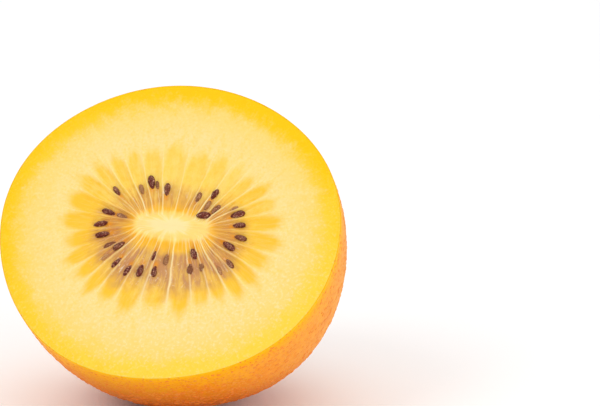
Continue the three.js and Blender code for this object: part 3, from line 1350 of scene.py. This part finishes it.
def lay(mesh: bpy.types.Mesh, form: FruitForm, lowest: float = 0.0) -> bpy.types.Object:
    """Lays a mesh where the fruit lies.

    Args:
        mesh: A mesh in the fruit's own axes.
        form: The fruit's sizes.
        lowest: How far above the table, in millimetres, the mesh is flattened.

    Returns:
        An object at the origin that holds the mesh.
    """
    mesh.transform(form.laying())
    points = np.empty(len(mesh.vertices) * 3, dtype=np.float32)
    mesh.vertices.foreach_get("co", points)
    heights = points.reshape(-1, 3)[:, 2]
    np.maximum(heights, lowest * MM, out=heights)
    mesh.vertices.foreach_set("co", points)
    mesh.update()
    laid = bpy.data.objects.new(mesh.name, mesh)
    bpy.context.scene.collection.objects.link(laid)
    return laid


@dataclass(frozen=True)
class SeedMark:
    """A soft oval mark beside each seed.

    Attributes:
        shift: How far it lies from the seed towards the core.
        half_length: Its half length.
        half_width: Its half width.
        fading: How much weaker it is beside a veiled seed.
    """

    shift: float
    half_length: float
    half_width: float
    fading: float


@dataclass
class Flesh:
    """The cut face with its core, chambers and walls, and the flesh behind it up to the skin.

    Zones are in millimetres: out from the core, past a chamber's tip or in from the skin. That of the
    walls is in chambers.
    """

    form: FruitForm
    core: CoreForm
    seeds: Sequence[SeedSpot]
    skin_thickness: float = 0.12
    columns_per_chamber: int = 20
    gathering: float = 0.6
    side_rings: int = 14
    last_turn: float = 0.015
    edge_share: float = 0.004
    rim_rings: int = 11
    rim_gathering: float = 1.5
    zone: float = 15.0
    zone_rings: int = 56
    core_rings: int = 8
    hollow_depth: float = 0.26
    hollow_walls: Zone = (0.02, 0.34)
    hollow_start: Zone = (0.3, 2.2)
    hollow_end: Zone = (-3.2, 0.2)
    ridge_height: float = 0.06
    ridge_width: float = 0.15
    ridge_start: Zone = (0.0, 1.0)
    ridge_end: Zone = (-2.0, 2.0)
    edge_drop: float = 0.03
    edge_zone: Zone = (0.0, 0.7)
    mark_depth: float = 2.0
    pulp_height: float = 0.05
    shade: SeedMark = SeedMark(shift=0.6, half_length=1.4, half_width=0.58, fading=0.0)
    cord: SeedMark = SeedMark(shift=1.25, half_length=0.5, half_width=0.36, fading=2.0)

    def build(self, material: bpy.types.Material) -> bpy.types.Object:
        """Builds the flesh in one closed mesh.

        Args:
            material: The flesh's material.

        Returns:
            The flesh.
        """
        places = self._places()
        to_rim = self.core.to_rim(self.form, places)
        direction = self.core.direction(places)
        side = self._side(places, to_rim)
        face, face_out = self._face(places, to_rim)
        rings = np.concatenate([side, face])
        out = np.concatenate([np.broadcast_to(to_rim, side.shape[:2]), face_out])
        spread = self.core.leaning(np.broadcast_to(places, out.shape), out)
        east, north = (np.broadcast_to(wave(direction), out.shape) for wave in (np.cos, np.sin))
        width = self.core.width(spread, np.maximum(out, 0))
        mesh = RingMesh(
            name="flesh",
            first=self.form.stem_end(self.skin_thickness),
            rings=rings[:, :-1],
            last=np.array([*self.core.middle, self.core.height]),
            point_values={
                "shade": self._marked(rings, self.shade)[:, :-1],
                "cord": self._marked(rings, self.cord)[:, :-1],
            },
            corner_values={
                "petals": np.stack([spread, out, self.core.tip(spread)], axis=-1),
                "compass": np.stack([east, north, width], axis=-1),
                "rim": np.maximum(to_rim - out, 0),
            },
        ).build()
        mesh.materials.append(material)
        return lay(mesh, self.form, lowest=self.skin_thickness)

    def _places(self) -> np.ndarray:
        """The columns' places round the core, gathered towards the chambers' walls."""
        even = np.arange(len(self.core.tips) * self.columns_per_chamber + 1)
        even = even / self.columns_per_chamber
        return even - self.gathering * np.sin(2 * math.pi * even) / (2 * math.pi)

    def _side(self, places: np.ndarray, to_rim: np.ndarray) -> np.ndarray:
        """Rings from the stem end up to just under the cut.

        Args:
            places: The columns' places round the core.
            to_rim: How far it is from the core to the rim there.

        Returns:
            The rings' points.
        """
        angle, _ = self.form.oval_place(self.core.point(places, to_rim))
        turns = np.linspace(math.pi / 2, 0.0, self.side_rings + 2)[1:-1]
        return self.form.rings(angle, [*turns, self.last_turn], self.skin_thickness)

    def _face(self, places: np.ndarray, to_rim: np.ndarray) -> tuple[np.ndarray, np.ndarray]:
        """Rings from the rim in to the middle of the core.

        Args:
            places: The columns' places round the core.
            to_rim: How far it is from the core to the rim there.

        Returns:
            The rings' points, and how far out from the core they lie, below 0 inside it.
        """
        edge = to_rim - self.skin_thickness
        inward = np.linspace(0, 1, self.rim_rings + 2)[1:-1] ** self.rim_gathering
        outs = [edge * (1 - share) + self.zone * share for share in (0.0, self.edge_share, *inward)]
        outs += [np.full_like(places, out) for out in np.linspace(self.zone, 0, self.zone_rings)]
        flats = [self.core.point(places, out) for out in outs]
        for share in np.linspace(1, 0, self.core_rings + 2)[1:-1]:
            flats.append(self.core.point(places, np.zeros_like(places), share))
            outs.append(np.full_like(places, (share - 1) * self.core.half_width))
        out = np.stack(outs)
        grid = np.concatenate([np.stack(flats), np.zeros((*out.shape, 1))], axis=-1)
        grid[..., 2] = self._height(grid, np.broadcast_to(places, out.shape), out, to_rim)
        grid[:, -1] = grid[:, 0]
        return grid, out

    def _height(
        self, grid: np.ndarray, place: np.ndarray, out: np.ndarray, to_rim: np.ndarray
    ) -> np.ndarray:
        """How far each point of the face stands out of the plane of the cut.

        Args:
            grid: The points, in the plane of the cut.
            place: Their places round the core.
            out: How far out from the core they lie.
            to_rim: How far it is from the core to the rim there.

        Returns:
            The heights: hollow chambers, ridges on their walls, a proud core and a dropped edge.
        """
        place = self.core.leaning(place, out)
        tip = self.core.tip(place)
        from_wall = 0.5 - np.abs(place - np.floor(place) - 0.5)
        across = step(from_wall, *self.hollow_walls)
        along = step(out, *self.hollow_start) * (1 - step(out - tip, *self.hollow_end))
        height = -self.hollow_depth * across * along
        wall = from_wall * self.core.width(place, np.maximum(out, 0))
        ridge = np.exp(-((wall / self.ridge_width) ** 2))
        along = step(out, *self.ridge_start) * (1 - step(out - tip, *self.ridge_end))
        height += self.ridge_height * ridge * along
        share = np.clip(1 + out / self.core.half_width, 0, 1)
        height += self.core.height * np.where(out <= 0, (1 - share**2) ** 0.7, 0)
        rim = to_rim - self.skin_thickness - out
        height -= self.edge_drop * (1 - step(rim, *self.edge_zone))
        height += self.pulp_height * (grain(grid, 0.45) + 0.4 * grain(grid, 1.7))
        return height

    def _marked(self, rings: np.ndarray, mark: SeedMark) -> np.ndarray:
        """How strongly each point is marked by the seeds near it.

        Args:
            rings: The points.
            mark: The mark beside each seed.

        Returns:
            The strength for each point, 0 to 1.
        """
        strength = np.zeros(rings.shape[:2])
        for seed in self.seeds:
            place, distance = np.array(seed.place), np.array(seed.distance)
            spot = self.core.point(place, distance)
            outward = self.core.point(place, distance + 1) - spot
            gap = rings[..., :2] - (spot - mark.shift * seed.size * outward)
            along = gap @ outward
            across = gap @ np.array([-outward[1], outward[0]])
            reach = (along / mark.half_length) ** 2 + (across / mark.half_width) ** 2
            strength += np.exp(-reach / seed.size**2) * max(0.0, 1 - mark.fading * seed.veil)
        near_cut = rings[..., 2] > -self.mark_depth
        return np.clip(strength, 0, 1) * near_cut


@dataclass
class Skin:
    """The thin skin, a shell round the flesh with its edge at the cut.

    The lip is the section of that edge: how far inside the skin each ring lies, and how far out of the
    cut. Zones are in millimetres: below the cut, above the table and out from the stem.
    """

    form: FruitForm
    thickness: float = 0.12
    columns: int = 360
    rows: int = 84
    inner_rows: int = 10
    first_inner_turn: float = 0.02
    bumpiness: float = 0.1
    creases: int = 13
    crease_depth: float = 0.09
    crease_radius: float = 3.6
    crease_reach: float = 2.2
    raggedness: float = 0.03
    lip: tuple[tuple[float, float], ...] = (
        (0.0, -0.5), (0.0, -0.2), (0.0, -0.12), (0.01, -0.05), (0.05, -0.02), (0.1, -0.04), (0.12, -0.1),
    )
    levelled_zone: Zone = (0.0, 4.0)
    dotted_below: float = 0.45
    dotted_above_table: Zone = (0.5, 1.1)
    dotted_round_stem: Zone = (2.9, 4.2)

    def outline(self) -> bpy.types.Mesh:
        """Builds the skin's mesh.

        Returns:
            The mesh, in the fruit's own axes.
        """
        angle = np.linspace(0, 2 * math.pi, self.columns, endpoint=False)
        outer_turns = np.linspace(math.pi / 2, 0, self.rows + 1)[1:-1]
        outer = self._uneven(self.form.rings(angle, outer_turns, 0.0))
        inner_turns = np.linspace(self.first_inner_turn, math.pi / 2, self.inner_rows + 1)[:-1]
        inner = self.form.rings(angle, inner_turns, self.thickness)
        rings = np.concatenate([outer, self._lip(angle), inner])
        dotted = np.zeros(rings.shape[:2])
        dotted[: len(outer)] = self._dotted(outer)
        return RingMesh(
            name="skin",
            first=self.form.stem_end(0.0),
            rings=rings,
            last=self.form.stem_end(self.thickness),
            point_values={"below": -rings[..., 2], "dotted": dotted},
        ).build()

    def _uneven(self, outer: np.ndarray) -> np.ndarray:
        """Raises and sinks the skin slightly, less towards the cut, with creases round the stem end.

        Args:
            outer: Points of the smooth skin.

        Returns:
            Points of the uneven skin.
        """
        scale = np.array([self.form.wide_radius, self.form.narrow_radius, self.form.half_length])
        outward = outer / scale**2
        outward /= np.linalg.norm(outward, axis=-1, keepdims=True)
        rise = grain(outer, 0.13) + 0.3 * grain(outer, 0.7)
        rise *= self.bumpiness * step(-outer[..., 2], *self.levelled_zone)
        from_stem = np.hypot(outer[..., 0], outer[..., 1])
        around = np.arctan2(outer[..., 1], outer[..., 0])
        creases = np.cos(self.creases * around + 2.5 * grain(outer, 0.25))
        stem_end = -outer[..., 2] > self.form.half_length / 2
        gap = (from_stem - self.crease_radius) / self.crease_reach
        rise += self.crease_depth * creases * (np.exp(-(gap**2)) * stem_end)
        return outer + outward * rise[..., None]

    def _lip(self, angle: np.ndarray) -> np.ndarray:
        """The rounded and slightly ragged edge of the skin at the cut.

        Args:
            angle: The columns' ways round the oval, in radians.

        Returns:
            The rings' points.
        """
        flat = np.zeros_like(angle)
        ragged = self.raggedness * grain(self.form.surface(angle, flat, 0.0), 0.9)
        rings = np.stack([self.form.surface(angle, flat, inset) for inset, _ in self.lip])
        rings[..., 2] = np.stack([w + ragged for _, w in self.lip])
        return rings

    def _dotted(self, outer: np.ndarray) -> np.ndarray:
        """Where dots may grow: not at the edge of the cut, at the stem, nor where the fruit rests.

        Args:
            outer: Points of the skin.

        Returns:
            How densely they may grow there, 0 to 1.
        """
        laying = np.array(self.form.laying())
        height = (outer @ laying[2, :3] + laying[2, 3]) / MM
        clear = step(height, *self.dotted_above_table)
        stem = step(np.hypot(outer[..., 0], outer[..., 1]), *self.dotted_round_stem)
        return clear * stem * (outer[..., 2] < -self.dotted_below)


@dataclass
class SkinDots:
    """The raised dots that are scattered over the skin."""

    form: FruitForm
    spacing: float = 0.62
    density: float = 0.72
    smallest: float = 0.15
    largest: float = 0.36
    full_size_below: float = 14.0
    flatness: float = 0.25
    segments: int = 8
    rings: int = 5
    seed: int = 7

    def build(self, skin: bpy.types.Mesh, material: bpy.types.Material) -> bpy.types.Object:
        """Scatters the dots.

        Args:
            skin: The skin's mesh in the fruit's own axes.
            material: The dots' material.

        Returns:
            The dots as one object.
        """
        sheet = ShapeSheet("scattered_dots")
        scatter = sheet.node(
            "GeometryNodeDistributePointsOnFaces",
            {"distribute_method": "POISSON"},
            {
                "Mesh": sheet.geometry(),
                "Distance Min": sheet.size("Spacing", self.spacing),
                "Density Max": sheet.size("Density", self.density),
                "Density Factor": sheet.named("dotted"),
                "Seed": sheet.size("Seed", self.seed),
            },
            out="Points",
        )
        facing = Wire(sheet, scatter.socket.node.outputs["Rotation"])
        flat = sheet.vector(1.0, 1.0, sheet.size("Flatness", self.flatness))
        ball = sheet.ball(self.segments, self.rings)
        dome = sheet.node("GeometryNodeTransform", {}, {"Geometry": ball, "Scale": flat})
        smallest = sheet.size("Smallest", self.smallest)
        largest = sheet.size("Largest", self.largest)
        full = sheet.size("Full size below", self.full_size_below)
        grown = 0.72 + 0.36 * sheet.named("below").step(1.0, full)
        radius = (smallest + (largest - smallest) * sheet.luck(11) ** 1.3) * grown
        long = 1.0 + 0.5 * sheet.luck(12)
        dots = sheet.planted(scatter, dome, facing, sheet.vector(radius * long, radius, radius))
        sheet.close(sheet.store(dots, "tint", sheet.luck(13), "FLOAT", "INSTANCE"), material)
        return lay(sheet.grow(skin, "skin_dots"), self.form)


@dataclass
class Seeds:
    """The seeds, drops that lie in the chambers with their narrow ends to the core."""

    form: FruitForm
    core: CoreForm
    spots: Sequence[SeedSpot]
    length: float = 2.12
    width: float = 1.08
    thickness: float = 0.95
    taper: float = 0.3
    segments: int = 26
    rings: int = 16
    sink: float = 0.21
    veiled_sink: float = 0.12
    dip: float = 0.12
    pit_depth: float = 0.12

    def build(self, material: bpy.types.Material) -> bpy.types.Object:
        """Builds all the seeds.

        Args:
            material: The seeds' material.

        Returns:
            The seeds as one object.
        """
        sheet = ShapeSheet("laid_seeds")
        x, y, z = sheet.node("GeometryNodeInputPosition").parts()
        ball = {
            "Geometry": sheet.ball(self.segments, self.rings),
            "Rotation": (0.0, math.pi / 2, 0.0),
        }
        lying = sheet.node("GeometryNodeTransform", {}, ball)
        marked = sheet.store(lying, "shell", sheet.vector(x, y, z), "FLOAT_VECTOR", "POINT")
        girth = 1.0 + sheet.size("Taper", self.taper) * 0.5 * (x - 1.0)
        shape = sheet.vector(
            x * sheet.size("Length", self.length) * 0.5,
            y * girth * sheet.size("Width", self.width) * 0.5,
            z * girth * sheet.size("Thickness", self.thickness) * 0.5,
        )
        drop = sheet.node("GeometryNodeSetPosition", {}, {"Geometry": marked, "Position": shape})
        size = sheet.named("size")
        turn = sheet.vector(0.0, sheet.named("dip"), sheet.named("turn"))
        scale = sheet.vector(size, size * sheet.named("girth"), size)
        laid = sheet.planted(sheet.geometry(), drop, turn, scale)
        real = sheet.node("GeometryNodeRealizeInstances", {}, {"Geometry": laid})
        pits = sheet.grain(sheet.node("GeometryNodeInputPosition"), 2.4) - 0.5
        outward = sheet.node("GeometryNodeInputNormal")
        depth = pits * sheet.size("Pit depth", self.pit_depth * 2)
        push = sheet.node(
            "ShaderNodeVectorMath", {"operation": "SCALE"}, {"Vector": outward, "Scale": depth}
        )
        pitted = sheet.node("GeometryNodeSetPosition", {}, {"Geometry": real, "Offset": push})
        sheet.close(pitted, material)
        return lay(sheet.grow(self._points(), "seeds"), self.form)

    def _points(self) -> bpy.types.Mesh:
        """A point for each seed.

        Returns:
            A mesh whose points carry each seed's turn, dip, size, girth, veil and luck.
        """
        places, distances, sizes, leans, veils, girths, lifts = np.array(
            [
                (spot.place, spot.distance, spot.size, spot.lean, spot.veil, spot.girth, spot.lift)
                for spot in self.spots
            ]
        ).T
        flat = self.core.point(places, distances)
        outward = self.core.point(places, distances + 1) - flat
        heights = lifts - self.sink - self.veiled_sink * veils
        mesh = bpy.data.meshes.new("seed_points")
        mesh.from_pydata(np.column_stack([flat, heights]).tolist(), [], [])
        carried = {
            "turn": np.arctan2(outward[:, 1], outward[:, 0]) + np.radians(leans),
            "dip": self.dip * np.sin(7.0 * places),
            "size": sizes,
            "girth": girths,
            "veil": veils,
            "luck": np.modf(places * 7.13 + distances * 3.7)[0],  # differs from seed to seed
        }
        for name, values in carried.items():
            data = mesh.attributes.new(name, "FLOAT", "POINT").data
            data.foreach_set("value", values.astype(np.float32))
        return mesh


@dataclass
class StemButton:
    """The woody button in the hollow of the stem end.

    The profile runs from its top to under the skin: shares of the radius, and heights.
    """

    form: FruitForm
    radius: float = 2.6
    columns: int = 72
    ridges: int = 11
    ridge_depth: float = 0.05
    lobes: int = 3
    lobe_depth: float = 0.04
    profile: tuple[tuple[float, float], ...] = (
        (0.0, 0.45), (0.18, 0.5), (0.35, 0.67), (0.48, 0.9), (0.6, 1.0), (0.74, 0.97), (0.86, 0.85),
        (0.96, 0.62), (1.0, 0.35), (0.98, 0.0), (0.94, -0.7), (0.9, -1.6), (0.0, -1.6),
    )

    def build(self, material: bpy.types.Material) -> bpy.types.Object:
        """Builds the button, with its ridges and fibres.

        Args:
            material: The button's material.

        Returns:
            The button.
        """
        angle = np.linspace(0, 2 * math.pi, self.columns, endpoint=False)
        floor = self.form.dimple_depth - self.form.half_length
        corner = np.arange(len(self.profile))
        even = np.linspace(0, corner[-1], 3 * len(corner) - 2)
        shares, rises = (np.interp(even, corner, numbers) for numbers in np.array(self.profile).T)
        rings = []
        for share, rise in zip(shares[1:-1], rises[1:-1]):
            ridge = 1 + self.ridge_depth * share * np.cos(self.ridges * angle + 2.0 * rise)
            ridge += self.lobe_depth * share * np.cos(self.lobes * angle + 1.0)
            out = self.radius * share * ridge
            ring = np.column_stack([out * np.cos(angle), out * np.sin(angle), 0 * angle])
            ring[:, 2] = floor - rise
            ring[:, 2] += 0.2 * share * grain(ring, 1.1) + 0.1 * grain(ring, 3.1)
            rings.append(ring)
        mesh = RingMesh(
            name="stem_button",
            first=np.array([0.0, 0.0, floor - rises[0]]),
            rings=np.stack(rings),
            last=np.array([0.0, 0.0, floor - rises[-1]]),
            point_values={"out": np.repeat(shares[1:-1, None], self.columns, axis=1)},
        ).build()
        mesh.materials.append(material)
        return lay(mesh, self.form)


@dataclass(frozen=True)
class Softbox:
    """A square light. Sizes are in metres, and the power in watts."""

    name: str
    place: tuple[float, float, float]
    size: float
    power: float

    def build(self, target: Vector) -> None:
        """Builds the light.

        Args:
            target: The point that it faces.
        """
        light = bpy.data.lights.new(self.name, "AREA")
        light.shape = "SQUARE"
        light.size = self.size
        light.energy = self.power
        stand = bpy.data.objects.new(self.name, light)
        stand.location = self.place
        aim = target - Vector(self.place)
        stand.rotation_euler = aim.to_track_quat("-Z", "Y").to_euler()
        bpy.context.scene.collection.objects.link(stand)


@dataclass
class Studio:
    """The pale floor, the soft lights and the camera. Sizes are in metres, and angles in degrees."""

    form: FruitForm
    floor_half: float = 3.0
    room_strength: float = 0.78
    fruit_height: float = 0.025
    softboxes: tuple[Softbox, ...] = (
        Softbox("key", (-0.55, -0.75, 0.95), 0.6, 3.4),
        Softbox("side", (0.9, -0.45, 0.3), 0.6, 2.6),
        Softbox("overhead", (0.0, 0.2, 1.2), 1.2, 2.8),
    )
    distance: float = 0.55
    azimuth: float = 15.6
    elevation: float = 15.0
    sensor: float = 36.0
    image_width: int = 600
    image_height: int = 406
    pixels_per_mm: float = 6.43
    middle_pixel: tuple[float, float] = (167.8, 228.6)

    def build(self) -> None:
        """Builds everything round the fruit."""
        self._floor()
        self._room()
        for softbox in self.softboxes:
            softbox.build(Vector((0, 0, self.fruit_height)))
        self._camera()

    def _floor(self) -> None:
        """A wide plain floor."""
        half = self.floor_half
        corner_points = [(-half, -half, 0), (half, -half, 0), (half, half, 0), (-half, half, 0)]
        mesh = bpy.data.meshes.new("floor")
        mesh.from_pydata(corner_points, [], [(0, 1, 2, 3)])
        mesh.materials.append(FloorFinish().make())
        floor = bpy.data.objects.new("floor", mesh)
        bpy.context.scene.collection.objects.link(floor)
        floor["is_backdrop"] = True

    def _room(self) -> None:
        """Even white surroundings."""
        world = bpy.data.worlds.new("white_room")
        world.use_nodes = True
        background = world.node_tree.nodes["Background"].inputs
        background["Strength"].default_value = self.room_strength
        background["Color"].default_value = (1.0, 1.0, 1.0, 1.0)
        bpy.context.scene.world = world
        bpy.context.scene.view_settings.view_transform = "Standard"

    def _camera(self) -> None:
        """The camera, turned so that the middle of the cut face falls on its pixel."""
        azimuth, elevation = math.radians(self.azimuth), math.radians(self.elevation)
        level = Vector((math.sin(azimuth), -math.cos(azimuth), 0)) * math.cos(elevation)
        back = level + Vector((0, 0, math.sin(elevation)))
        right = Vector((math.cos(azimuth), math.sin(azimuth), 0))
        upward = back.cross(right)
        middle = self.form.laying() @ Vector((0, 0, 0))
        across = (self.image_width / 2 - self.middle_pixel[0]) / self.pixels_per_mm * MM
        above = (self.middle_pixel[1] - self.image_height / 2) / self.pixels_per_mm * MM
        camera = bpy.data.cameras.new("camera")
        camera.sensor_width = self.sensor
        camera.lens = self.sensor * self.pixels_per_mm / MM * self.distance / self.image_width
        eye = bpy.data.objects.new("camera", camera)
        eye.location = middle + back * self.distance
        aim = middle + right * across + upward * above - eye.location
        eye.rotation_euler = aim.to_track_quat("-Z", "Y").to_euler()
        bpy.context.scene.collection.objects.link(eye)
        bpy.context.scene.camera = eye


def attach(piece: bpy.types.Object, slot: Slot) -> None:
    """Makes a piece part of the fruit, in place of its solid, and reports it.

    Args:
        piece: The piece.
        slot: The record's material slot of its finish, which is only written to the log.
    """
    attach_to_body(piece, BODY)
    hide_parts(NODE)
    triangles = sum(len(face.vertices) - 2 for face in piece.data.polygons)
    LOG.info("%s: %d triangles, %s", piece.name, triangles, slot.value)


def corners() -> list[list[float]]:
    """The lowest and highest corner of the shown object."""
    return [[float(value) for value in corner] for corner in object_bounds()]


def main() -> None:
    """Builds the fruit and its studio."""
    logging.basicConfig(level=logging.INFO, format="%(name)s: %(message)s", stream=sys.stdout)
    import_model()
    form, core = FruitForm(), CoreForm()
    Studio(form).build()
    attach(Flesh(form, core, SEED_SPOTS).build(FleshFinish().make()), Slot.FLESH)
    attach(Seeds(form, core, SEED_SPOTS).build(SeedFinish().make()), Slot.SEED)
    skin = Skin(form).outline()
    dots = SkinDots(form).build(skin, DotFinish().make())
    skin.materials.append(SkinFinish().make())
    attach(lay(skin, form), Slot.SKIN)
    attach(dots, Slot.SKIN)
    attach(StemButton(form).build(StemFinish().make()), Slot.STEM)


if __name__ == "__main__":
    main()
